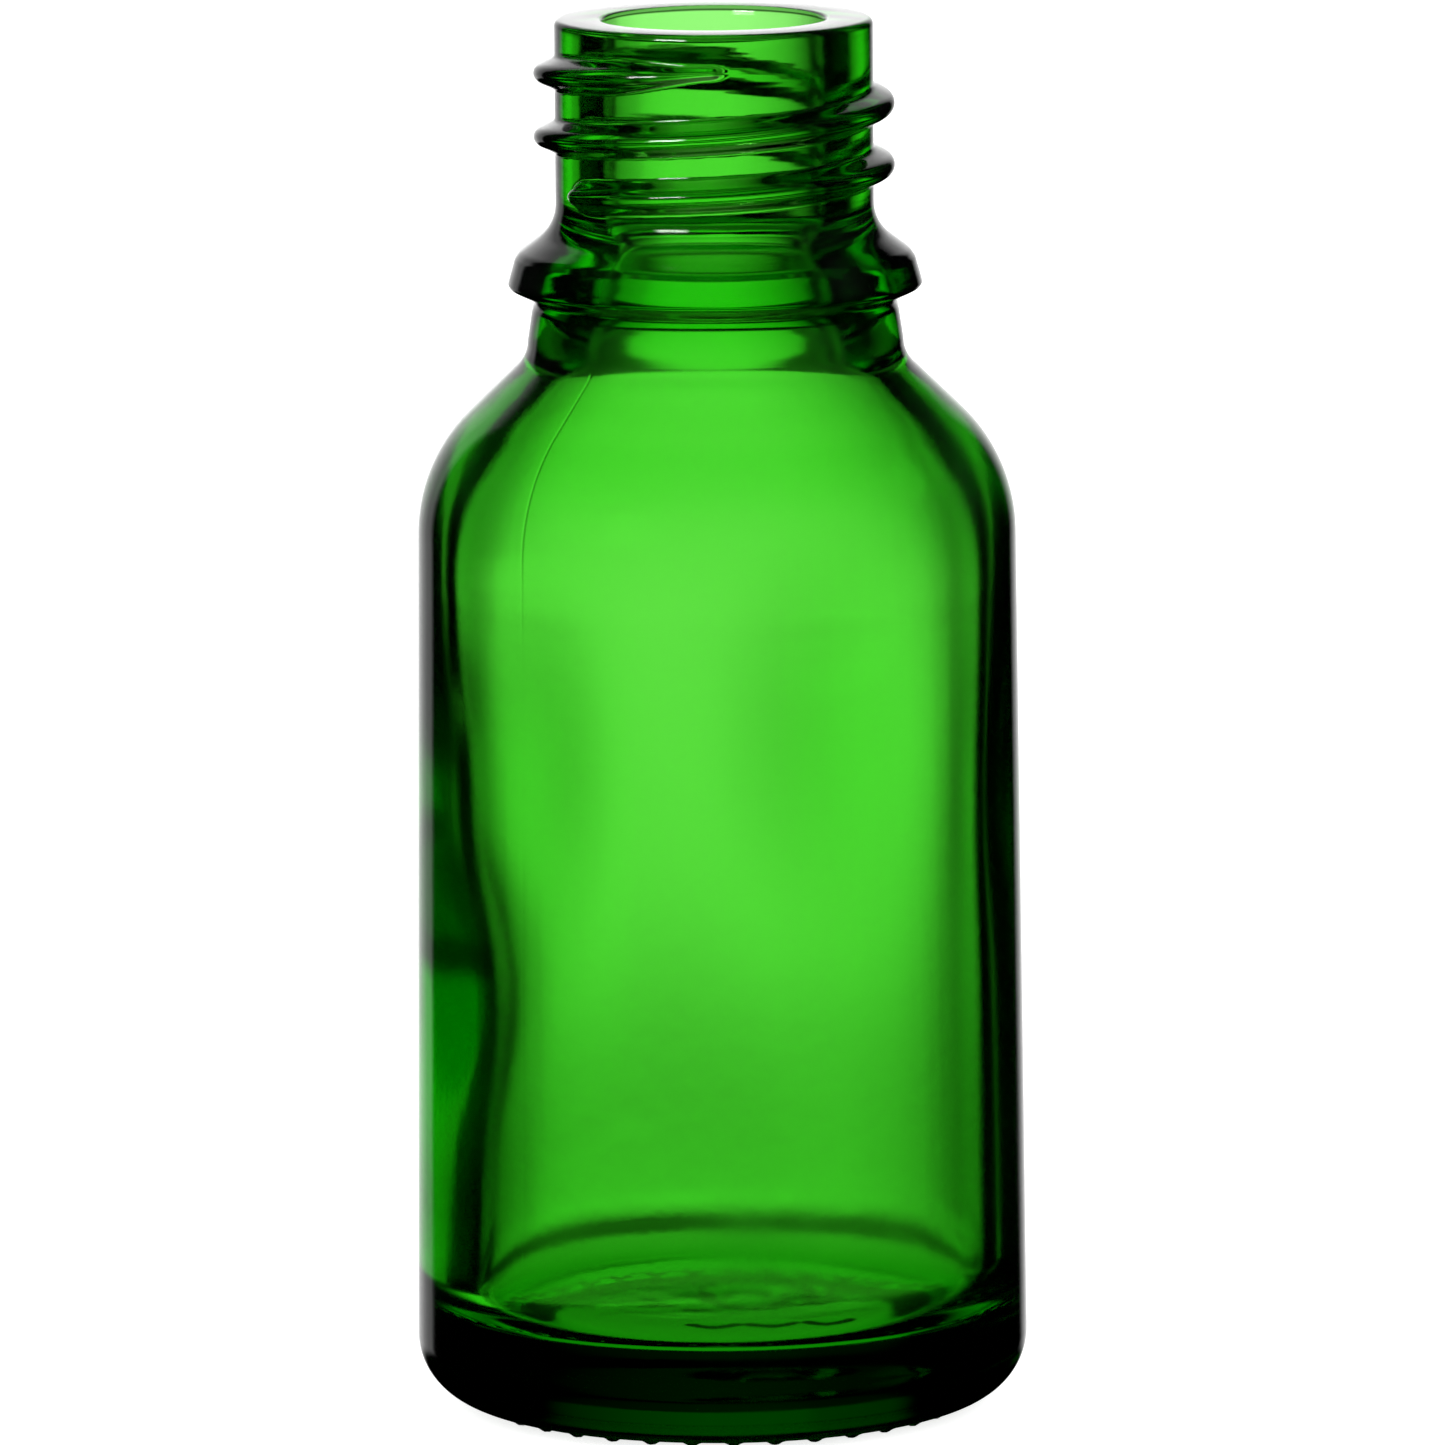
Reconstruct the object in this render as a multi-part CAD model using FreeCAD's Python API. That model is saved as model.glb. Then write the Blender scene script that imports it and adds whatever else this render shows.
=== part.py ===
"""A small green glass oil bottle with a screw neck, empty and without its closure.

The bottle is one piece of moulded glass. It stands on z = 0 with its axis on Z, and the
middle of its front faces -Y. Every size is in millimetres. Angles round the axis are in
degrees, counted anticlockwise from +X as seen from above.
"""
import FreeCAD, Part
import math
import os

from FreeCAD import Vector

# overall
HEIGHT = 66.0
BODY_RADIUS_FOOT = 14.5        # just above the heel
BODY_RADIUS_TOP = 14.12        # just below the shoulder: the mould has a slight draft
HEEL_RADIUS = 3.2
SHOULDER_START = 41.6          # height where the body turns into the shoulder
SHOULDER_RADIUS = 8.1
SHOULDER_ANGLE = 44.0          # slope of the shoulder's straight part, from the axis

# foot
BUMP_COUNT = 37
BUMP_RING_RADIUS = 11.5
BUMP_HEIGHT = 0.18
BUMP_FOOT_RADIUS = 0.48
BUMP_TIP_RADIUS = 0.22
FOOT_INNER_RADIUS = 10.4       # where the hollow under the foot starts
FOOT_HOLLOW = 1.2              # depth of that hollow
FOOT_FLAT_RADIUS = 8.1         # its roof is flat inside this

# generic raised mould marks under the foot, standing down from the hollow's roof
MARK_HEIGHT = 0.45
MARK_ROOT = 0.5                # how far they reach up into the glass
MARK_RING = (1.2, 5.4)         # middle of the ring
MARK_RING_RADIUS = 1.4
MARK_RING_WIDTH = 0.7
MARK_BAR_AT = (4.7, 5.2)
MARK_BAR = (3.2, 0.8)          # length and width
MARK_DOTS = ((-0.4, -3.6), (2.3, -3.6), (5.0, -3.6))
MARK_DOT_RADIUS = 0.9

# neck below the bead
NECK_RADIUS_LOW = 8.86
NECK_RADIUS_HIGH = 8.58
NECK_TOP = 52.7
NECK_FILLET = 1.7

# bead
BEAD_RADIUS = 9.76
BEAD_FACE_LOW = 53.55
BEAD_ROUND = 0.3               # round of the bead's lower edge
BEAD_ROUND_FROM = -50.0        # direction in which that round starts
BEAD_UNDERCUT = 0.12           # bevel where the neck meets the bead's underside
BEAD_FACE_TOP = (9.43, 54.7)   # radius and height where the sloping face ends
BEAD_TOP = (9.2, 55.02)        # and where the flare starts, after the bevel between
FLARE_RADIUS = 2.0             # hollow curve from the bead up to the screw
FLARE_START = 57.3             # height where that curve meets the screw's root
FLARE_TURN = 50.0              # angle that the curve turns through before it runs straight

# screw finish
SCREW_RADIUS = 7.5
LIP_ROUND = 0.3
BORE_RADIUS = 5.2
BORE_STRAIGHT = 12.6           # length of the straight bore, from the mouth down
THREAD_PITCH = 3.0
THREAD_CREST_RADIUS = 8.5
THREAD_CREST_ROUND = 0.5
THREAD_FLANK = 26.0            # half angle of the thread section
THREAD_START_ANGLE = -91.0     # upper end, at the middle of the front
THREAD_START_HEIGHT = 64.2
THREAD_SWEEP = 770.0           # angle that the thread turns through, downwards
THREAD_ROOT_DEPTH = 0.15       # how far the thread section reaches into the neck

# inside
BODY_BORE_RADIUS = 12.1
INNER_HEEL_RADIUS = 2.0
BASE_THICKNESS = 4.5           # height of the flat inner bottom
INNER_SHOULDER_START = 39.8
INNER_SHOULDER_RADIUS = 7.0
INNER_NECK_RADIUS = 6.3
INNER_NECK_HEIGHT = 50.3
INNER_NECK_FILLET = 1.6


def at(radius, height):
    """A point of an outline, in the plane y = 0."""
    return Vector(radius, 0, height)


def line(start, end):
    return Part.LineSegment(start, end).toShape()


def arc(centre, radius, start, end):
    """An arc of an outline between two directions, given in degrees from +r towards +z."""
    def on_circle(angle):
        turn = math.radians(angle)
        return centre + at(radius * math.cos(turn), radius * math.sin(turn))
    return Part.Arc(on_circle(start), on_circle((start + end) / 2), on_circle(end)).toShape()


def bridge(before, after):
    """The straight line from the end of one piece to the start of the next, if they don't meet."""
    start = before.valueAt(before.LastParameter)
    end = after.valueAt(after.FirstParameter)
    return [line(start, end)] if start.distanceToPoint(end) > 1e-6 else []


def revolve(pieces):
    """A solid of revolution from the pieces of its closed outline, taken in order."""
    edges = []
    for piece, following in zip(pieces, pieces[1:] + pieces[:1]):
        edges += [piece] + bridge(piece, following)
    face = Part.Face(Part.Wire(edges))
    return face.revolve(Vector(0, 0, 0), Vector(0, 0, 1), 360)


def outer_outline():
    """The outside, from the middle of the foot up and round to the middle of the mouth."""
    foot = BUMP_HEIGHT
    heel_centre = at(BODY_RADIUS_FOOT - HEEL_RADIUS, foot + HEEL_RADIUS)
    hollow_top = foot + FOOT_HOLLOW
    shoulder_centre = at(BODY_RADIUS_TOP - SHOULDER_RADIUS, SHOULDER_START)
    shoulder_turn = 90 - SHOULDER_ANGLE
    slope = math.radians(shoulder_turn)
    shoulder_end = shoulder_centre + at(SHOULDER_RADIUS * math.cos(slope), SHOULDER_RADIUS * math.sin(slope))

    # the fillet at the foot of the neck touches the shoulder's slope and the neck's side
    along = at(-math.sin(slope), math.cos(slope))
    away = at(math.cos(slope), math.sin(slope))
    fillet_r = NECK_RADIUS_LOW + NECK_FILLET
    offset_start = shoulder_end + away * NECK_FILLET
    run = (offset_start.x - fillet_r) / -along.x
    fillet_centre = offset_start + along * run

    bead_centre = at(BEAD_RADIUS - BEAD_ROUND, BEAD_FACE_LOW)
    flare_centre = at(SCREW_RADIUS + FLARE_RADIUS, FLARE_START)
    lip_centre = at(SCREW_RADIUS - LIP_ROUND, HEIGHT - LIP_ROUND)
    return [
        line(at(0, hollow_top), at(FOOT_FLAT_RADIUS, hollow_top)),
        line(at(FOOT_FLAT_RADIUS, hollow_top), at(FOOT_INNER_RADIUS, foot)),
        arc(heel_centre, HEEL_RADIUS, -90, 0),
        arc(shoulder_centre, SHOULDER_RADIUS, 0, shoulder_turn),
        arc(fillet_centre, NECK_FILLET, 180 + shoulder_turn, 180),
        line(at(NECK_RADIUS_HIGH, NECK_TOP), at(NECK_RADIUS_HIGH + BEAD_UNDERCUT, NECK_TOP + BEAD_UNDERCUT)),
        arc(bead_centre, BEAD_ROUND, BEAD_ROUND_FROM, 0),
        line(at(*BEAD_FACE_TOP), at(*BEAD_TOP)),
        arc(flare_centre, FLARE_RADIUS, 180 + FLARE_TURN, 180),
        arc(lip_centre, LIP_ROUND, 0, 90),
        line(at(0, HEIGHT), at(0, hollow_top)),
    ]


def inner_outline():
    """The inside, from the middle of the inner bottom up and out through the mouth."""
    rim = BODY_BORE_RADIUS - INNER_HEEL_RADIUS
    heel_centre = at(rim, BASE_THICKNESS + INNER_HEEL_RADIUS)
    shoulder_centre = at(BODY_BORE_RADIUS - INNER_SHOULDER_RADIUS, INNER_SHOULDER_START)
    shoulder_turn = 90 - SHOULDER_ANGLE
    fillet_centre = at(INNER_NECK_RADIUS + INNER_NECK_FILLET, INNER_NECK_HEIGHT)
    mouth_centre = at(BORE_RADIUS + LIP_ROUND, HEIGHT - LIP_ROUND)
    over = HEIGHT + 1
    return [
        line(at(0, BASE_THICKNESS), at(rim, BASE_THICKNESS)),
        arc(heel_centre, INNER_HEEL_RADIUS, -90, 0),
        arc(shoulder_centre, INNER_SHOULDER_RADIUS, 0, shoulder_turn),
        arc(fillet_centre, INNER_NECK_FILLET, 180 + shoulder_turn, 180),
        line(at(BORE_RADIUS, HEIGHT - BORE_STRAIGHT), at(BORE_RADIUS, HEIGHT - LIP_ROUND)),
        arc(mouth_centre, LIP_ROUND, 180, 90),
        line(at(BORE_RADIUS + LIP_ROUND, over), at(0, over)),
    ]


def thread_section():
    """Outline of the thread at right angles to its run, as (radius, height) from its middle."""
    flank = math.radians(THREAD_FLANK)
    centre = at(THREAD_CREST_RADIUS - THREAD_CREST_ROUND, 0)
    root = SCREW_RADIUS - THREAD_ROOT_DEPTH
    touch = centre + at(math.sin(flank), math.cos(flank)) * THREAD_CREST_ROUND
    half_width = touch.z + (touch.x - root) * math.tan(flank)
    lower = [at(root, -half_width), at(touch.x, -touch.z)]
    crest = at(THREAD_CREST_RADIUS, 0)
    upper = [at(touch.x, touch.z), at(root, half_width)]
    return lower, crest, upper


def thread():
    """The raised screw thread: a right-hand run with a rounded end at top and bottom."""
    lower, crest, upper = thread_section()
    turns = THREAD_SWEEP / 360
    bottom = THREAD_START_HEIGHT - THREAD_PITCH * turns
    whole = Part.Wire([line(*lower), Part.Arc(lower[1], crest, upper[0]).toShape(),
                       line(*upper), line(upper[1], lower[0])])
    path = Part.makeHelix(THREAD_PITCH, THREAD_PITCH * turns, SCREW_RADIUS)
    run = Part.Wire(path).makePipeShell([whole], True, True)

    # each end is half of the section turned through half a turn about a line out from the axis
    root = SCREW_RADIUS - THREAD_ROOT_DEPTH
    half = Part.Face(Part.Wire([Part.Arc(crest, crest_quarter(upper[0]), upper[0]).toShape(),
                                line(*upper), line(upper[1], at(root, 0)), line(at(root, 0), crest)]))
    lower_end = half.revolve(Vector(0, 0, 0), Vector(1, 0, 0), 180)
    upper_end = half.revolve(Vector(0, 0, 0), Vector(1, 0, 0), -180)
    upper_end.translate(Vector(0, 0, THREAD_PITCH * turns))
    upper_end.rotate(Vector(0, 0, 0), Vector(0, 0, 1), THREAD_SWEEP)
    shape = run.fuse([lower_end, upper_end])
    shape.translate(Vector(0, 0, bottom))
    shape.rotate(Vector(0, 0, 0), Vector(0, 0, 1), THREAD_START_ANGLE - THREAD_SWEEP)
    return shape


def crest_quarter(touch):
    """The point half way round the crest's arc, between its top and where the flank starts."""
    centre = at(THREAD_CREST_RADIUS - THREAD_CREST_ROUND, 0)
    angle = math.atan2(touch.z, touch.x - centre.x) / 2
    return centre + at(math.cos(angle), math.sin(angle)) * THREAD_CREST_ROUND


def bumps():
    """The ring of small raised bumps that the bottle stands on, flat at z = 0."""
    tall = BUMP_HEIGHT * 2
    spread = BUMP_TIP_RADIUS + (BUMP_FOOT_RADIUS - BUMP_TIP_RADIUS) * 2
    ring = []
    for number in range(BUMP_COUNT):
        angle = 2 * math.pi * number / BUMP_COUNT
        place = Vector(BUMP_RING_RADIUS * math.cos(angle), BUMP_RING_RADIUS * math.sin(angle), 0)
        ring.append(Part.makeCone(BUMP_TIP_RADIUS, spread, tall, place, Vector(0, 0, 1)))
    return ring


def foot_marks():
    """Generic raised marks under the foot: a ring, a bar and three dots, with no lettering."""
    level = BUMP_HEIGHT + FOOT_HOLLOW - MARK_HEIGHT
    tall = MARK_HEIGHT + MARK_ROOT
    centre = Vector(*MARK_RING, level)
    ring = Part.makeCylinder(MARK_RING_RADIUS + MARK_RING_WIDTH / 2, tall, centre).cut(
        Part.makeCylinder(MARK_RING_RADIUS - MARK_RING_WIDTH / 2, tall, centre))
    length, width = MARK_BAR
    x, y = MARK_BAR_AT
    bar = Part.makeBox(width, length, tall, Vector(x - width / 2, y - length / 2, level))
    dots = [Part.makeCylinder(MARK_DOT_RADIUS, tall, Vector(*dot, level)) for dot in MARK_DOTS]
    return [ring, bar] + dots


def glass_bottle():
    outside = revolve(outer_outline()).fuse(bumps()).fuse(foot_marks()).fuse(thread())
    return outside.cut(revolve(inner_outline())).Solids[0]


def main():
    os.makedirs("parts", exist_ok=True)
    bottle = glass_bottle()
    bottle.exportStep("parts/glass_bottle.step")
    brimful = revolve(outer_outline()).Volume - revolve(outer_outline()).cut(revolve(inner_outline())).Volume
    print("one valid solid:", bottle.isValid(), " glass:", round(bottle.Volume / 1000, 2), "ml",
          " brimful:", round(brimful / 1000, 2), "ml")


main()
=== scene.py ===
"""The look of a small green glass oil bottle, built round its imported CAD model.

The glass is one closed mesh of rings about the Z axis: under the foot, up the outside, over the
lip and down the inside. Thread, bumps and moulded marks are real relief in it, and the inner
wall is uneven, as blown glass is. Sizes are in millimetres and angles in degrees unless they say
otherwise.
"""

import math

import bpy
import numpy as np
from mathutils import Matrix, Vector


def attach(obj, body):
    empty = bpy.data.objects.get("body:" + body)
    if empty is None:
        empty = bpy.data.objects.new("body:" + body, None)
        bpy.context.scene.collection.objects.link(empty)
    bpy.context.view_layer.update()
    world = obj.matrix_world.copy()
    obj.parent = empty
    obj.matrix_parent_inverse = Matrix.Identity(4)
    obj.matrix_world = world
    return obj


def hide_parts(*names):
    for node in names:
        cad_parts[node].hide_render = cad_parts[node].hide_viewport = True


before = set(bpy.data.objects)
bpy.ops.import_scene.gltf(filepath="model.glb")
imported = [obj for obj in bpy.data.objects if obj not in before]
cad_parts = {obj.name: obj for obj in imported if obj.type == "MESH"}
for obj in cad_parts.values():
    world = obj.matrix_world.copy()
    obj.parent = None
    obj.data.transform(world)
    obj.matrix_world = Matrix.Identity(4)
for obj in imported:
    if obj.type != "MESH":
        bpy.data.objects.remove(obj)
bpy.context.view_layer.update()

MM = 0.001

# outside
HEIGHT = 66.0
BODY_RADIUS_FOOT = 14.5
BODY_RADIUS_TOP = 14.12
HEEL_RADIUS = 3.2
SHOULDER_START = 41.6
SHOULDER_RADIUS = 8.1
SHOULDER_TURN = 46.0           # angle that the shoulder's round turns through
NECK_RADIUS_LOW = 8.86
NECK_RADIUS_HIGH = 8.58
NECK_TOP = 52.7
NECK_FILLET = 1.7
BEAD_RADIUS = 9.76
BEAD_FACE_LOW = 53.55
BEAD_ROUND = 0.3
BEAD_ROUND_FROM = -50.0
BEAD_UNDERCUT = (0.16, 0.14)   # how far out and up the small step under the bead goes
BEAD_FACE_TOP = (9.43, 54.7)   # radius and height where the bead's sloping face ends
BEAD_TOP = (9.2, 55.02)
FLARE_RADIUS = 2.0
FLARE_START = 57.3
FLARE_TURN = 50.0
SCREW_RADIUS = 7.5
LIP_ROUND = 0.3

# foot
BUMP_COUNT = 37
BUMP_RING_RADIUS = 11.5
BUMP_HEIGHT = 0.18
BUMP_HALF_WIDTH = 0.5
FOOT_INNER_RADIUS = 10.4
FOOT_HOLLOW = 1.2
FOOT_FLAT_RADIUS = 7.8         # the hollow is flat inside this
MARK_HEIGHT = 0.5
MARK_RING = (1.2, 5.4)         # middle of the raised ring
MARK_RING_RADIUS = 1.4
MARK_RING_WIDTH = 0.9
MARK_BAR_AT = (4.7, 5.2)
MARK_BAR = (3.2, 0.8)
MARK_DOTS = ((-0.4, -3.6), (2.3, -3.6), (5.0, -3.6))
MARK_DOT_RADIUS = 0.9
MARK_BLEND = 0.9               # width of the soft edge of a raised mark

# thread
THREAD_PITCH = 3.0
THREAD_HEIGHT = 1.0
THREAD_CREST_ROUND = 0.5
THREAD_FLANK = 26.0            # half angle of the thread section
THREAD_ROOT_BLEND = 0.12
THREAD_START_ANGLE = -91.0     # upper end, at the middle of the front
THREAD_START_HEIGHT = 64.2
THREAD_SWEEP = 770.0           # angle that the thread turns through, downwards
THREAD_LEVEL_FROM = 560.0      # angle down the thread where it starts to level off
THREAD_LEVEL = 0.35            # how much higher than an even helix its lower end is
THREAD_END_STRETCH = 0.55      # under 1: the ends fade out over more than half their width
THREAD_TOP_TAPER = (40.0, 0.35)   # angle over which the upper end narrows, and the share at its tip
THREAD_LOW_TAPER = (3.0, 0.95)    # the same for the lower end

# inside
BORE_RADIUS = 5.2
BORE_END = 55.2                # height where the straight bore ends
BODY_BORE_RADIUS = 12.3
BODY_BORE_TOP = 38.0           # height below which the body's bore is straight
INNER_HEEL = (1.7, 2.9)        # width and height of the inner heel's round
BASE_THICKNESS = 4.6
BASE_DISH = 0.15               # how much lower the middle of the inner bottom is than its edge
INNER_SHOULDER = (             # radius and height of points down the inside, from neck to body
    (5.25, 54.2), (5.55, 52.6), (6.1, 51.1), (6.75, 49.7), (7.9, 48.2), (9.3, 46.7),
    (10.6, 45.3), (11.5, 43.9), (12.05, 42.2), (12.28, 40.0),
)

# swells of the blown wall: angle, height, reach round the wall, reach in height, extra thickness
WALL_SWELLS = (
    (-25.0, 26.0, 20.0, 60.0, -0.2),
    (14.0, 26.0, 20.0, 60.0, 0.5),
    (-155.0, 44.0, 20.0, 12.0, -0.2),
    (166.0, 44.0, 20.0, 12.0, 0.5),
    (182.0, 31.0, 33.0, 4.5, 0.4),
    (182.0, 21.0, 29.0, 6.0, 1.05),
    (0.0, 29.5, 20.0, 6.0, 0.3),
    (180.0, 9.0, 40.0, 9.0, 0.45),
    (-90.0, 7.0, 60.0, 12.0, 0.4),
    (90.0, 7.0, 60.0, 12.0, 0.4),
    (-66.0, 34.0, 22.0, 8.5, 0.55),
    (-128.0, 32.0, 16.0, 8.0, 0.4),
)
SWELLS_END = (47.0, 7.0)       # height above which there are none, and the depth of the fade below it

# low waves of the inner bottom and of the hollow's roof
WAVE_COUNT = 12
WAVE_LENGTHS = (1.6, 5.0)
BOTTOM_WAVES = (5, 0.0003)     # seed, and height of each wave as a share of its length
BOTTOM_WAVES_FADE = 1.5        # width over which they fade towards the edge
FOOT_WAVES = (8, 0.0008)
FOOT_WAVES_END = (9.0, 2.0)    # radius beyond which there are none, and the width of the fade

# mesh
COUNT = 222                    # corners of a ring: a multiple of the number of bumps
EDGE_STEP = 0.1
FOOT_STEP = 0.18
BOTTOM_STEP = 0.35
THREAD_STEP = 0.085
FIRST_RING = 0.3               # radius of the rings nearest the axis
SPARSE_FOOT_RADIUS = 5.0       # rings under the foot have half the corners inside this
SPARSE_BOTTOM_RADIUS = 8.0     # and so have rings of the inner bottom inside this
BUMP_ZONE = (12.3, 1.0)        # rings have twice the corners within this radius and height

# glass
ABSORPTION_PER_M = (620.0, 120.0, 810.0)   # red, green and blue lost in a metre of this glass
ABSORPTION_DENSITY = 830.0
GLASS_IOR = 1.52

# unevenness of the glass: cells per metre across and up, and height in metres
ORANGE_PEEL = (850.0, 850.0, 3.0e-6)
LONG_STREAKS = (700.0, 22.0, 5.0e-6)
NECK_RIPPLES = (130.0, 1100.0, 2.2e-5)
NECK_FROM = (0.052, 0.056)             # heights in metres between which the ripples set in
SEAM_ANGLE = math.radians(50.0)        # the two halves of the mould meet here and opposite
SEAM_HALF_WIDTH, SEAM_HEIGHT = 0.00012, 1.0e-5
# a line between the inner and the outer wall: two heights, and its radius at each, in metres
WALL_MIDDLE = (0.043, 0.050, 0.0132, 0.0070)
SEAM_CLEAR_FROM = (0.036, 0.046)       # heights in metres between which the seam comes up
SEAM_CLEAR_TO = (0.049, 0.051)         # and between which it goes down again
HAZE = (0.03, 0.11)                    # least and most roughness
HAZE_SCALE = 160.0

# stage: lengths in metres
FLOOR_REACH = 4.0
FLOOR_SHADE, FLOOR_GLOW = 0.86, 0.8
# painted shade: a disc under the foot, seen only through the glass, glows dimly to stand in for the
# table in the bottle's shade
SHADE_RADIUS, SHADE_HEIGHT = 10.3, 0.02    # millimetres
SHADE_LIGHT = 0.65
FLAG_AWAY, FLAG_HALF_WIDTH, FLAG_TOP = 0.025, 0.025, 0.062

# light: directions in degrees, side from the back towards the left, rise from the horizon
PANEL_LEFT, PANEL_RIGHT = 37.0, 24.0    # reach of the bright panel either side
PANEL_SIDE_SOFT = 6.0
PANEL_LIGHT = 1.4
PANEL_FALLS = (                         # from one angle to another the panel dims to a share
    (10.5, 13.0, 0.8), (6.0, 30.0, 0.3), (-2.0, -22.0, 0.22),
)
BACK_RISE = (-89.0, 40.0, 2.0)          # lowest, highest and softness, seen through the glass
BACK_LEFT = 27.0                        # and its reach to the left, seen so
UPPER_SHARE = 0.08                      # of the panel's light above its bright part
TABLE_RISE = (-60.0, -23.0, 6.0)
TABLE_LIGHT, TABLE_LEAST = 0.36, 0.15
# small panels straight behind the bottle in the views 45,25, 90,3 and 225,15, and in no others:
# middle, lowest, highest and softness
SMALL_PANELS = (
    (45.0, -38.0, -20.0, 4.0), (90.0, -5.0, 8.0, 1.5), (-135.0, -23.0, -13.5, 1.5),
)
MIRRORED_RISE = (-14.0, 45.0, 4.0)
MIRRORED_GAIN = 1.1
BOX_SIDE, BOX_RISE = 148.0, 12.0        # middle of the small softbox in front, to the left
BOX_HALF = (11.0, 9.0)
BOX_SOFT = (5.0, 3.0)
BOX_LIGHT = 17.0
FILL_LIGHT = 1.25                       # that matt surfaces get
BACKDROP_LIGHT = 1.2                    # as the camera sees it

# camera, in metres
CAMERA_AT = (0.0, -0.665, 0.1395)
CAMERA_AIM = (0.0002, 0.0, 0.0325)
CAMERA_ROLL = 0.4
LENS, SENSOR = 354.9, 36.0              # millimetres


def smooth_step(value):
    value = np.clip(value, 0.0, 1.0)
    return value * value * (3.0 - 2.0 * value)


def line(start, end, step):
    """Points along a straight stretch of an outline, its end left out."""
    start, end = np.array(start, float), np.array(end, float)
    count = max(1, round(float(np.linalg.norm(end - start)) / step))
    return [tuple(start + (end - start) * i / count) for i in range(count)]


def arc(centre, radius, first, last, count):
    """Points along an arc, both ends in. Angles run from +r towards +z."""
    turns = np.radians(np.linspace(first, last, count + 1))
    return [(centre[0] + radius * math.cos(t), centre[1] + radius * math.sin(t)) for t in turns]


def foot_height(radius):
    """Height of the hollow under the foot: flat in the middle, with a soft slope round it."""
    out = (radius - FOOT_FLAT_RADIUS) / (FOOT_INNER_RADIUS - FOOT_FLAT_RADIUS)
    return BUMP_HEIGHT + FOOT_HOLLOW * (1.0 - smooth_step(out))


def neck_fillet():
    """Middle of the round between shoulder and neck, which touches both."""
    slope = math.radians(SHOULDER_TURN)
    away = np.array([math.cos(slope), math.sin(slope)])
    along = np.array([-math.sin(slope), math.cos(slope)])
    shoulder = np.array([BODY_RADIUS_TOP - SHOULDER_RADIUS, SHOULDER_START])
    start = shoulder + away * (SHOULDER_RADIUS + NECK_FILLET)
    run = (start[0] - NECK_RADIUS_LOW - NECK_FILLET) / -along[0]
    return tuple(start + along * run)


def outer_outline():
    """Outline of the outside from the edge of the foot's hollow up to the top of the lip."""
    heel = (BODY_RADIUS_FOOT - HEEL_RADIUS, BUMP_HEIGHT + HEEL_RADIUS)
    shoulder = (BODY_RADIUS_TOP - SHOULDER_RADIUS, SHOULDER_START)
    bead = (BEAD_RADIUS - BEAD_ROUND, BEAD_FACE_LOW)
    flare = (SCREW_RADIUS + FLARE_RADIUS, FLARE_START)
    lip = (SCREW_RADIUS - LIP_ROUND, HEIGHT - LIP_ROUND)

    # foot, body and shoulder
    points = line((FOOT_INNER_RADIUS, BUMP_HEIGHT), (heel[0], BUMP_HEIGHT), EDGE_STEP)
    points += arc(heel, HEEL_RADIUS, -90, 0, 30)
    points += line(points.pop(), (BODY_RADIUS_TOP, SHOULDER_START), 3.0)
    points += arc(shoulder, SHOULDER_RADIUS, 0, SHOULDER_TURN, 16)

    # neck
    fillet_points = arc(neck_fillet(), NECK_FILLET, 180 + SHOULDER_TURN, 180, 7)
    points += line(points.pop(), fillet_points[0], 0.6)
    points += fillet_points
    points += line(points.pop(), (NECK_RADIUS_HIGH, NECK_TOP), 0.5)

    # bead
    bead_points = arc(bead, BEAD_ROUND, BEAD_ROUND_FROM, 0, 4)
    under = (NECK_RADIUS_HIGH + BEAD_UNDERCUT[0], NECK_TOP + BEAD_UNDERCUT[1])
    points += line((NECK_RADIUS_HIGH, NECK_TOP), under, EDGE_STEP)
    points += line(under, bead_points[0], 0.25)
    points += bead_points
    points += line(points.pop(), BEAD_FACE_TOP, 0.3)
    points += line(BEAD_FACE_TOP, BEAD_TOP, EDGE_STEP)

    # flare, screw and lip
    flare_points = arc(flare, FLARE_RADIUS, 180 + FLARE_TURN, 180, 12)
    points += line(BEAD_TOP, flare_points[0], 0.2)
    points += flare_points
    points += line(points.pop(), (SCREW_RADIUS, HEIGHT - LIP_ROUND), THREAD_STEP)
    points += arc(lip, LIP_ROUND, 0, 90, 5)
    return points


def smooth_curve(points, step):
    """Points along a smooth curve through the given ones, from the second to the last but one."""
    points = np.array(points, float)
    found = []
    for before, start, end, after in zip(points, points[1:], points[2:], points[3:]):
        count = max(1, round(float(np.linalg.norm(end - start)) / step))
        for t in np.arange(count) / count:
            bent = (2 * before - 5 * start + 4 * end - after) * t + 3 * (start - end) * t * t
            bent += (after - before) * t * t
            found.append(tuple(start + t / 2 * (end - before + bent)))
    return found


def inner_outline():
    """Outline of the inside from the lip down to the edge of the inner bottom's flat part."""
    mouth = (BORE_RADIUS + LIP_ROUND, HEIGHT - LIP_ROUND)
    width, rise = INNER_HEEL
    heel = (BODY_BORE_RADIUS - width, BASE_THICKNESS + rise)
    bore_end, body = (BORE_RADIUS, BORE_END), (BODY_BORE_RADIUS, BODY_BORE_TOP)
    above, below = (BORE_RADIUS, BORE_END + 1.0), (BODY_BORE_RADIUS, BODY_BORE_TOP - 2.0)
    points = arc(mouth, LIP_ROUND, 90, 180, 5)
    points += line(points.pop(), bore_end, 1.2)
    points += smooth_curve((above, bore_end, *INNER_SHOULDER, body, below), 0.35)
    points += line(body, (heel[0] + width, heel[1]), 0.7)
    quarter = arc((0.0, 0.0), 1.0, 0, -90, 24)
    points += [(heel[0] + width * r, heel[1] + rise * z) for r, z in quarter]
    return points


def taper(run, shape):
    """Share of the full thread at an angle from one of its ends."""
    reach, tip = shape
    return tip + (1.0 - tip) * smooth_step(run / reach)


def soft_floor(value):
    """The larger of a value and zero, with a small fillet where the two meet."""
    blend = THREAD_ROOT_BLEND
    middle = (value + blend) ** 2 / (4.0 * blend)
    return np.where(value > blend, value, np.where(value < -blend, 0.0, middle))


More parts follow.
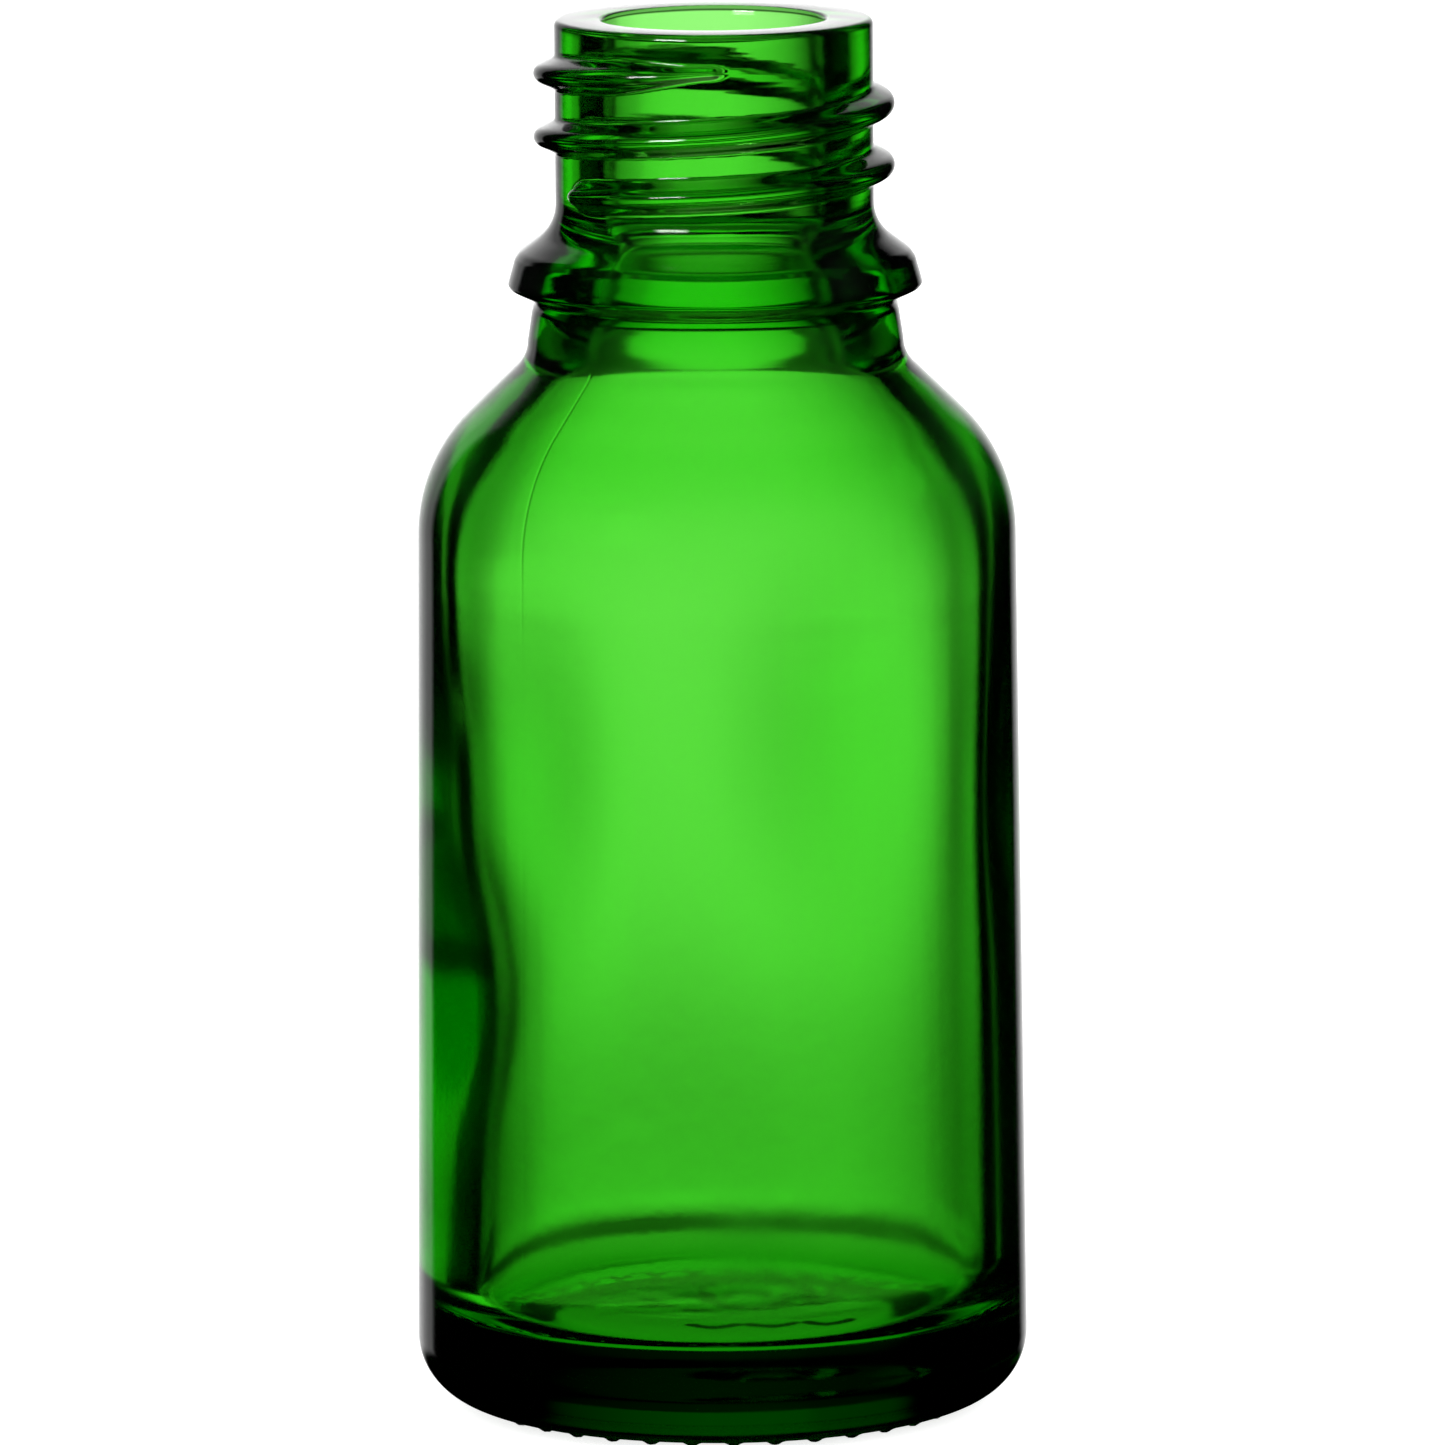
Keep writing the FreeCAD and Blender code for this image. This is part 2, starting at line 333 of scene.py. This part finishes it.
def thread_relief(angle, height):
    """How far the thread stands out of the neck at an angle and a height."""
    flank = math.radians(THREAD_FLANK)
    touch = THREAD_CREST_ROUND * math.cos(flank)
    touch_height = THREAD_HEIGHT - THREAD_CREST_ROUND * (1.0 - math.sin(flank))
    relief = np.zeros(np.broadcast(angle, height).shape)
    for turn in range(-1, 4):
        # the angle runs down the thread from its upper end, clockwise from above
        run = (THREAD_START_ANGLE - angle) % 360.0 + 360.0 * turn
        over = np.maximum(np.maximum(-run, run - THREAD_SWEEP), 0.0)
        centre = THREAD_START_HEIGHT - THREAD_PITCH * np.clip(run, 0.0, THREAD_SWEEP) / 360.0
        levelled = (run - THREAD_LEVEL_FROM) / (THREAD_SWEEP - THREAD_LEVEL_FROM)
        centre = centre + THREAD_LEVEL * smooth_step(levelled)
        beyond = np.radians(over) * SCREW_RADIUS * THREAD_END_STRETCH
        share = taper(run, THREAD_TOP_TAPER) * taper(THREAD_SWEEP - run, THREAD_LOW_TAPER)
        away = np.hypot(height - centre, beyond) / share
        crest = THREAD_HEIGHT - THREAD_CREST_ROUND + np.sqrt(
            np.maximum(THREAD_CREST_ROUND ** 2 - away ** 2, 0.0))
        side = touch_height - (away - touch) / math.tan(flank)
        relief = np.maximum(relief, soft_floor(np.where(away < touch, crest, side) * share))
    return relief


def bump_relief(radius, angle):
    """How far a bump under the foot stands down at a radius and an angle."""
    pitch = 360.0 / BUMP_COUNT
    across = np.radians((angle + pitch / 2.0) % pitch - pitch / 2.0) * BUMP_RING_RADIUS
    away = np.hypot(across, radius - BUMP_RING_RADIUS) / BUMP_HALF_WIDTH
    return BUMP_HEIGHT * smooth_step((1.0 - away) / 0.8)


def mark_relief(x, y):
    """Share, from 0 to 1, of the generic raised marks under the foot: a ring, a bar, three dots."""
    def soft_edge(distance):
        return smooth_step(0.5 - distance / MARK_BLEND)
    away = np.hypot(x - MARK_RING[0], y - MARK_RING[1])
    share = soft_edge(np.abs(away - MARK_RING_RADIUS) - MARK_RING_WIDTH / 2)
    length, width = MARK_BAR
    across = np.abs(x - MARK_BAR_AT[0]) - width / 2
    along = np.abs(y - MARK_BAR_AT[1]) - length / 2
    share = np.maximum(share, soft_edge(np.maximum(across, along)))
    for dot in MARK_DOTS:
        away = np.hypot(x - dot[0], y - dot[1])
        share = np.maximum(share, soft_edge(away - MARK_DOT_RADIUS))
    return share


def wall_thickening(angle, height):
    """Extra thickness of the blown wall at an angle and a height, inwards."""
    extra = np.zeros(np.broadcast(angle, height).shape)
    for middle, level, reach, rise, amount in WALL_SWELLS:
        turned = (angle - middle + 180.0) % 360.0 - 180.0
        extra = extra + amount * np.exp(-(turned / reach) ** 2 - ((height - level) / rise) ** 2)
    top, depth = SWELLS_END
    fade = smooth_step((height - BASE_THICKNESS) / INNER_HEEL[1]) * smooth_step((top - height) / depth)
    return fade * extra


def settled_waves(x, y, seed, slope):
    """Low random waves of a flat glass surface; each one's height is slope times its length."""
    rng = np.random.default_rng(seed)
    waves = np.zeros(x.shape)
    for _ in range(WAVE_COUNT):
        turn = rng.uniform(0, 2 * math.pi)
        length = rng.uniform(*WAVE_LENGTHS)
        phase = rng.uniform(0, 2 * math.pi)
        along = (x * math.cos(turn) + y * math.sin(turn)) * 2 * math.pi / length
        waves += np.sin(along + phase) * length * slope
    return waves


class RingMesh:
    """A closed skin made of rings, joined one after another from one end of the outline."""

    def __init__(self):
        self.points = []
        self.faces = []
        self.last = None

    def ring(self, xyz):
        """Adds a ring and joins it to the one before, which has as many, twice or half the corners."""
        start = sum(len(p) for p in self.points)
        self.points.append(xyz)
        here = start + np.arange(len(xyz))
        if self.last is not None:
            self.join(self.last, here)
        self.last = here

    def join(self, a, b):
        if len(a) == 1:
            self.faces += [(a[0], b[(i + 1) % len(b)], b[i]) for i in range(len(b))]
        elif len(b) == 1:
            self.faces += [(a[i], a[(i + 1) % len(a)], b[0]) for i in range(len(a))]
        elif len(a) == len(b):
            after = np.roll(a, -1), np.roll(b, -1)
            self.faces += list(zip(a, after[0], after[1], b))
        elif len(b) == 2 * len(a):
            for i in range(len(a)):
                a0, a1 = a[i], a[(i + 1) % len(a)]
                b0, b1, b2 = b[2 * i], b[2 * i + 1], b[(2 * i + 2) % len(b)]
                self.faces += [(a0, b1, b0), (a0, a1, b1), (a1, b2, b1)]
        else:
            for i in range(len(b)):
                b0, b1 = b[i], b[(i + 1) % len(b)]
                a0, a1, a2 = a[2 * i], a[2 * i + 1], a[(2 * i + 2) % len(a)]
                self.faces += [(a0, a1, b0), (a1, b1, b0), (a1, a2, b1)]

    def build(self, name):
        vertices = np.vstack([np.asarray(p, float) for p in self.points]) * MM
        piece = new_object(name, vertices.tolist(), [tuple(int(i) for i in f) for f in self.faces])
        piece.data.polygons.foreach_set("use_smooth", [True] * len(piece.data.polygons))
        piece.data.update()
        return piece


def new_object(name, corners, faces):
    """A mesh object in the scene, from corners in metres."""
    mesh = bpy.data.meshes.new(name)
    mesh.from_pydata(corners, [], faces)
    mesh.update()
    made = bpy.data.objects.new(name, mesh)
    bpy.context.scene.collection.objects.link(made)
    return made


def circle(radius, height, angles):
    turn = np.radians(angles)
    radius = np.broadcast_to(radius, angles.shape)
    height = np.broadcast_to(height, angles.shape)
    return np.column_stack([radius * np.cos(turn), radius * np.sin(turn), height])


def ring_angles(count):
    return np.arange(count) * 360.0 / count


def add_foot(skin):
    """The underside: from its middle out to the edge of the hollow."""
    skin.ring(np.array([[0.0, 0.0, foot_height(0.0)]]))
    half, plain = ring_angles(COUNT // 2), ring_angles(COUNT)
    end, fade = FOOT_WAVES_END
    for radius in np.arange(FIRST_RING, FOOT_INNER_RADIUS - 0.1, FOOT_STEP):
        flat = circle(radius, foot_height(radius), half if radius < SPARSE_FOOT_RADIUS else plain)
        flat[:, 2] -= mark_relief(flat[:, 0], flat[:, 1]) * MARK_HEIGHT
        waves = settled_waves(flat[:, 0], flat[:, 1], *FOOT_WAVES)
        flat[:, 2] += waves * smooth_step((end - radius) / fade)
        skin.ring(flat)


def add_outside(skin):
    """The outside: bearing ring with its bumps, heel, body, shoulder, neck, bead and thread."""
    plain, fine = ring_angles(COUNT), ring_angles(COUNT * 2)
    for radius, height in outer_outline():
        low = radius < BUMP_ZONE[0] and height < BUMP_ZONE[1]
        angles = fine if low else plain
        out = np.zeros(len(angles))
        if FLARE_START - 1.0 < height < HEIGHT - LIP_ROUND / 2:
            out = thread_relief(angles, height)
        down = bump_relief(radius, angles) if low else 0.0
        skin.ring(circle(radius + out, np.maximum(height - down, 0.0), angles))


def add_inside(skin):
    """The inside: mouth, bore, shoulder and body, then the inner bottom to its middle."""
    half, plain = ring_angles(COUNT // 2), ring_angles(COUNT)
    rim = BODY_BORE_RADIUS - INNER_HEEL[0]
    for radius, height in inner_outline():
        skin.ring(circle(radius - wall_thickening(plain, height), height, plain))
    for radius in np.arange(rim - BOTTOM_STEP, FIRST_RING, -BOTTOM_STEP):
        flat = circle(radius, 0.0, plain if radius > SPARSE_BOTTOM_RADIUS else half)
        flat[:, 2] = BASE_THICKNESS - BASE_DISH * (1.0 - (radius / rim) ** 2)
        waves = settled_waves(flat[:, 0], flat[:, 1], *BOTTOM_WAVES)
        flat[:, 2] += waves * smooth_step((rim - radius) / BOTTOM_WAVES_FADE)
        skin.ring(flat)
    skin.ring(np.array([[0.0, 0.0, BASE_THICKNESS - BASE_DISH]]))


class Nodes:
    """Small helper that adds maths, range and noise nodes to a node tree."""

    def __init__(self, tree):
        self.nodes, self.links = tree.nodes, tree.links

    def place(self, kind):
        """A kind of texture coordinates, and its three parts."""
        whole = self.nodes.new("ShaderNodeTexCoord").outputs[kind]
        split = self.nodes.new("ShaderNodeSeparateXYZ")
        self.links.new(whole, split.inputs["Vector"])
        return whole, *split.outputs

    def feed(self, socket, value):
        if isinstance(value, (int, float)):
            socket.default_value = value
        else:
            self.links.new(value, socket)

    def math(self, operation, *values):
        node = self.nodes.new("ShaderNodeMath")
        node.operation = operation
        for socket, value in zip(node.inputs, values):
            self.feed(socket, value)
        return node.outputs[0]

    def between(self, value, start, end, low, high, shape="LINEAR"):
        """low before start, high after end, and a rise between."""
        node = self.nodes.new("ShaderNodeMapRange")
        node.interpolation_type = shape
        self.feed(node.inputs["Value"], value)
        for name, amount in zip(("From Min", "From Max", "To Min", "To Max"), (start, end, low, high)):
            node.inputs[name].default_value = amount
        return node.outputs["Result"]

    def rise(self, value, start, end, shape="SMOOTHSTEP"):
        """0 before start, 1 after end, and a rise between; start may be the larger."""
        if start < end:
            return self.between(value, start, end, 0.0, 1.0, shape)
        return self.between(value, end, start, 1.0, 0.0, shape)

    def window(self, value, low, high, soft):
        """1 between low and high, fading to 0 over the width of soft centred on each edge."""
        up = self.rise(value, low - soft / 2, low + soft / 2)
        down = self.rise(value, high + soft / 2, high - soft / 2)
        return self.math("MULTIPLY", up, down)

    def noise(self, place, across, up):
        scale = self.nodes.new("ShaderNodeVectorMath")
        scale.operation = "MULTIPLY"
        scale.inputs[1].default_value = (across, across, up)
        self.links.new(place, scale.inputs[0])
        node = self.nodes.new("ShaderNodeTexNoise")
        node.inputs["Scale"].default_value = 1.0
        node.inputs["Detail"].default_value = 2.0
        self.links.new(scale.outputs["Vector"], node.inputs["Vector"])
        return node.outputs["Fac"]


def mould_seam(make, x, y, z):
    """Height of the fine seam that the two halves of the mould leave on the outside."""
    off_seam = make.math("SUBTRACT", make.math("MULTIPLY", x, math.sin(SEAM_ANGLE)),
                         make.math("MULTIPLY", y, math.cos(SEAM_ANGLE)))
    ridge = make.math("DIVIDE", make.math("ABSOLUTE", off_seam), SEAM_HALF_WIDTH)
    ridge = make.math("MAXIMUM", make.math("SUBTRACT", 1.0, ridge), 0.0)
    # the outside is further from the axis than a line between the walls
    radius = make.math("SQRT", make.math("ADD", make.math("MULTIPLY", x, x),
                                         make.math("MULTIPLY", y, y)))
    outside = make.math("GREATER_THAN", radius, make.between(z, *WALL_MIDDLE))
    # it is clearest on the shoulder
    clear = make.math("MULTIPLY", make.between(z, *SEAM_CLEAR_FROM, SEAM_HEIGHT / 10, SEAM_HEIGHT),
                      make.between(z, *SEAM_CLEAR_TO, 1.0, 0.15))
    return make.math("MULTIPLY", make.math("MULTIPLY", ridge, outside), clear)


def glass_unevenness(tree):
    """Bump of orange peel, long streaks, neck ripples and mould seam, and a faint haze."""
    make = Nodes(tree)
    place, x, y, z = make.place("Object")
    height = make.math("MULTIPLY", make.noise(place, *ORANGE_PEEL[:2]), ORANGE_PEEL[2])
    streaks = make.math("MULTIPLY", make.noise(place, *LONG_STREAKS[:2]), LONG_STREAKS[2])
    in_neck = make.between(z, *NECK_FROM, 0.0, NECK_RIPPLES[2])
    ripples = make.math("MULTIPLY", make.noise(place, *NECK_RIPPLES[:2]), in_neck)
    height = make.math("ADD", make.math("ADD", height, streaks), ripples)

    bump = make.nodes.new("ShaderNodeBump")
    bump.inputs["Distance"].default_value = 1.0
    make.links.new(make.math("ADD", height, mould_seam(make, x, y, z)), bump.inputs["Height"])
    haze = make.between(make.noise(place, HAZE_SCALE, HAZE_SCALE / 4), 0.35, 0.65, *HAZE)
    return bump.outputs["Normal"], haze


def green_glass():
    """Clear green container glass: tint from its volume, with a faint moulded unevenness."""
    material = bpy.data.materials.new("green_glass")
    material.use_nodes = True
    nodes, links = material.node_tree.nodes, material.node_tree.links
    nodes.clear()
    output = nodes.new("ShaderNodeOutputMaterial")
    surface = nodes.new("ShaderNodeBsdfPrincipled")
    surface.inputs["Base Color"].default_value = (1.0, 1.0, 1.0, 1.0)
    surface.inputs["IOR"].default_value = GLASS_IOR
    surface.inputs["Transmission Weight"].default_value = 1.0
    links.new(surface.outputs["BSDF"], output.inputs["Surface"])
    relief, haze = glass_unevenness(material.node_tree)
    links.new(relief, surface.inputs["Normal"])
    links.new(haze, surface.inputs["Roughness"])

    volume = nodes.new("ShaderNodeVolumeAbsorption")
    volume.inputs["Density"].default_value = ABSORPTION_DENSITY
    kept = [1.0 - lost / ABSORPTION_DENSITY for lost in ABSORPTION_PER_M]
    volume.inputs["Color"].default_value = (*kept, 1.0)
    links.new(volume.outputs["Volume"], output.inputs["Volume"])
    return material


def matt(name, shade, glow):
    """A grey material with no gloss, which may also glow white."""
    material = bpy.data.materials.new(name)
    material.use_nodes = True
    shader = material.node_tree.nodes["Principled BSDF"]
    shader.inputs["Base Color"].default_value = (shade, shade, shade, 1.0)
    shader.inputs["Roughness"].default_value = 1.0
    shader.inputs["Specular IOR Level"].default_value = 0.0
    shader.inputs["Emission Color"].default_value = (1.0, 1.0, 1.0, 1.0)
    shader.inputs["Emission Strength"].default_value = glow
    return material


def floor():
    reach = FLOOR_REACH
    corners = [(-reach, -reach, 0), (reach, -reach, 0), (reach, reach, 0), (-reach, reach, 0)]
    plane = new_object("floor", corners, [(0, 1, 2, 3)])
    plane.data.materials.append(matt("pale_floor", FLOOR_SHADE, FLOOR_GLOW))
    plane.visible_transmission = False
    plane.visible_glossy = False


def painted_foot_shade():
    """Painted shade: a dimly glowing disc for the table in the bottle's shade, seen only through the
    glass.
    """
    skin = RingMesh()
    skin.ring(np.array([[0.0, 0.0, SHADE_HEIGHT]]))
    skin.ring(circle(SHADE_RADIUS, SHADE_HEIGHT, ring_angles(48)))
    patch = skin.build("painted_foot_shade")
    patch.data.materials.append(matt("painted_table_shade", 0.0, SHADE_LIGHT))
    patch.visible_camera = patch.visible_diffuse = patch.visible_glossy = patch.visible_shadow = False


def flag():
    """A black card that keeps the softbox's reflection off the shoulder and the body."""
    turn = math.radians(BOX_SIDE)
    across = Vector((math.cos(turn), math.sin(turn), 0.0)) * FLAG_HALF_WIDTH
    middle = Vector((-math.sin(turn), math.cos(turn), 0.0)) * FLAG_AWAY
    top = Vector((0.0, 0.0, FLAG_TOP))
    corners = [middle - across, middle + across, middle + across + top, middle - across + top]
    card = new_object("flag", [tuple(c) for c in corners], [(0, 1, 2, 3)])
    card.data.materials.append(matt("black_card", 0.0, 0.0))
    card.visible_camera = card.visible_diffuse = card.visible_transmission = card.visible_shadow = False


def panel_light(make, side, rise, middle, low, high, soft, left=PANEL_LEFT):
    """Brightness, from 0 to 1, of an upright panel that dims from its middle outwards."""
    turned = make.math("WRAP", make.math("SUBTRACT", side, middle), 180.0, -180.0)
    across = make.window(turned, -PANEL_RIGHT, left, PANEL_SIDE_SOFT)
    for start, end, kept in PANEL_FALLS:
        fall = make.rise(turned, end, start, "LINEAR")
        across = make.math("MULTIPLY", across, make.math("MULTIPLY_ADD", fall, 1.0 - kept, kept))
    return make.math("MULTIPLY", across, make.window(rise, low, high, soft))


def light_through(make, side, rise):
    """What is seen through the glass: the panel and table behind, and a panel for three views."""
    upper = make.math("MULTIPLY_ADD", make.rise(rise, 12.0, 10.0), 1.0 - UPPER_SHARE, UPPER_SHARE)
    upper = make.math("MULTIPLY", upper, make.rise(rise, 32.0, 20.0))
    upright = make.math("MULTIPLY", make.rise(rise, -17.5, -10.0), upper)
    table = make.math("MULTIPLY_ADD", make.window(rise, *TABLE_RISE), TABLE_LIGHT, TABLE_LEAST)
    light = make.math("MULTIPLY", panel_light(make, side, rise, 0.0, *BACK_RISE, BACK_LEFT),
                      make.math("MAXIMUM", upright, table))
    for small in SMALL_PANELS:
        light = make.math("MAXIMUM", light, panel_light(make, side, rise, *small))
    return make.math("MULTIPLY", light, PANEL_LIGHT)


def light_mirrored(make, side, rise):
    """What the glass mirrors: the panel behind, and a small softbox in front."""
    panel = panel_light(make, side, rise, 0.0, *MIRRORED_RISE)
    panel = make.math("MULTIPLY", panel, PANEL_LIGHT * MIRRORED_GAIN)
    box = make.math(
        "MULTIPLY",
        make.window(side, BOX_SIDE - BOX_HALF[0], BOX_SIDE + BOX_HALF[0], BOX_SOFT[0]),
        make.window(rise, BOX_RISE - BOX_HALF[1], BOX_RISE + BOX_HALF[1], BOX_SOFT[1]))
    return make.math("MAXIMUM", panel, make.math("MULTIPLY", box, BOX_LIGHT))


def studio():
    """Bright panel behind the bottle, dark at the sides and in front, as for glass on white."""
    world = bpy.data.worlds.new("studio")
    bpy.context.scene.world = world
    world.use_nodes = True
    nodes, links = world.node_tree.nodes, world.node_tree.links
    nodes.clear()
    make = Nodes(world.node_tree)
    _, x, y, z = make.place("Generated")
    degree = 180.0 / math.pi
    side = make.math("MULTIPLY", make.math("ARCTAN2", make.math("MULTIPLY", x, -1.0), y), degree)
    rise = make.math("MULTIPLY", make.math("ARCSINE", z), degree)

    # each kind of ray meets its own light
    path = nodes.new("ShaderNodeLightPath")
    def choose(flag, yes, no):
        kept = make.math("MULTIPLY", make.math("SUBTRACT", 1.0, path.outputs[flag]), no)
        return make.math("ADD", kept, make.math("MULTIPLY", path.outputs[flag], yes))
    light = choose("Is Glossy Ray", light_mirrored(make, side, rise), FILL_LIGHT)
    light = choose("Is Transmission Ray", light_through(make, side, rise), light)
    light = choose("Is Camera Ray", BACKDROP_LIGHT, light)

    background = nodes.new("ShaderNodeBackground")
    links.new(light, background.inputs["Strength"])
    background.inputs["Color"].default_value = (1.0, 1.0, 1.0, 1.0)
    output = nodes.new("ShaderNodeOutputWorld")
    links.new(background.outputs["Background"], output.inputs["Surface"])


def camera():
    """A long lens, in front of the bottle and looking a little down on it."""
    data = bpy.data.cameras.new("camera")
    data.sensor_width = SENSOR
    data.lens = LENS
    data.clip_start, data.clip_end = 0.05, 20.0
    seen_from = Vector(CAMERA_AT)
    forward = (Vector(CAMERA_AIM) - seen_from).normalized()
    turn = forward.to_track_quat("-Z", "Y").to_matrix().to_4x4()
    roll = Matrix.Rotation(-math.radians(CAMERA_ROLL), 4, "Z")
    eye = bpy.data.objects.new("camera", data)
    eye.matrix_world = Matrix.Translation(seen_from) @ turn @ roll
    bpy.context.scene.collection.objects.link(eye)
    bpy.context.scene.camera = eye


def glass_bottle():
    skin = RingMesh()
    add_foot(skin)
    add_outside(skin)
    add_inside(skin)
    piece = skin.build("bottle_glass")
    piece.data.materials.append(green_glass())
    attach(piece, "root")
    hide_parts("glass_bottle")


scene = bpy.context.scene
scene.view_settings.view_transform = "Standard"
scene.cycles.max_bounces = 24
scene.cycles.transmission_bounces = 24
scene.cycles.glossy_bounces = 8

glass_bottle()
floor()
painted_foot_shade()
flag()
studio()
camera()
